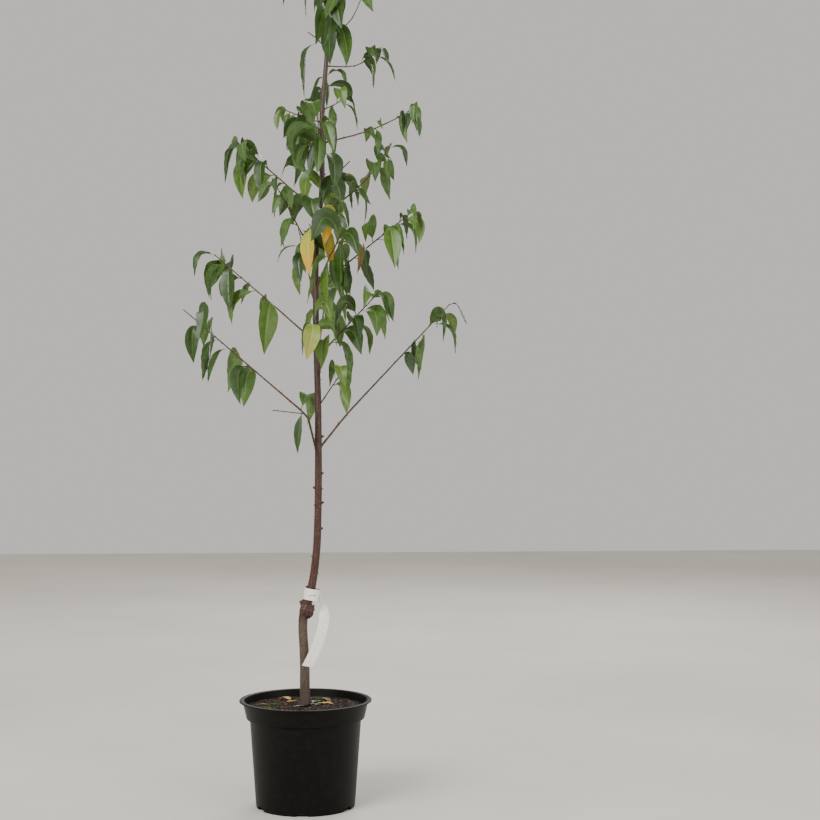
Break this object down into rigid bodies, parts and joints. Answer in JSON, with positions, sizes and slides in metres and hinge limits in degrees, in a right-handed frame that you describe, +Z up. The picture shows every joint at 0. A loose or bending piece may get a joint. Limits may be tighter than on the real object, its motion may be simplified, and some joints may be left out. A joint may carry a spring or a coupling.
{
  "type": "potted almond tree",
  "caption": "Young potted almond tree with a slim grafted trunk, sparse spreading shoots, hanging lance-shaped leaves, a round nursery pot and a blank loop label.",
  "frame": {"origin": "centre of the pot's flat underside, where it stands on the ground", "axes": "+Z up along the trunk, -Y towards the side that the picture shows, +X to its right"},
  "size_m": [0.6042, 0.3988, 1.9697],
  "materials": {
    "pot_plastic": "satin",
    "compost": "matte",
    "bark": "satin",
    "leaf": "satin",
    "label_plastic": "satin"
  },
  "bodies": {
    "root": {"pot": "pot_plastic", "compost": "compost", "trunk": "bark", "label": "label_plastic", "bough_left_low": "bark", "leaves_left_low": "leaf", "bough_left_middle": "bark", "leaves_left_middle": "leaf", "bough_left_upper": "bark", "leaves_left_upper": "leaf", "bough_left_high": "bark", "leaves_left_high": "leaf", "leaves_left_top": "leaf", "leaves_left_leader": "leaf", "bough_right_low": "bark", "leaves_right_low": "leaf", "bough_right_lower": "bark", "leaves_right_lower": "leaf", "bough_right_middle": "bark", "leaves_right_middle": "leaf", "bough_right_upper": "bark", "leaves_right_upper": "leaf", "bough_right_bare": "bark", "bough_right_high": "bark", "leaves_right_high": "leaf", "bough_right_top": "bark", "leaves_right_top": "leaf", "leaves_right_spur": "leaf", "bough_right_leader": "bark", "leaves_right_leader": "leaf", "bough_right_tip_bare": "bark", "leaves_front_low": "leaf", "leaves_front_yellow": "leaf", "bough_front_middle": "bark", "leaves_front_middle": "leaf", "leaves_front_upper": "leaf", "bough_front_high": "bark", "leaves_front_high": "leaf", "leaves_front_top": "leaf", "leaves_front_leader": "leaf", "bough_back_low": "bark", "leaves_back_low": "leaf", "bough_back_middle": "bark", "leaves_back_middle": "leaf", "bough_back_upper": "bark", "leaves_back_upper": "leaf", "bough_back_high": "bark", "leaves_back_high": "leaf", "leaves_back_top": "leaf", "leaves_crown_back": "leaf", "leaves_crown_left": "leaf", "leaves_crown_right": "leaf", "leaves_crown_front": "leaf", "leaves_leader": "leaf"}
  },
  "joints": []
}
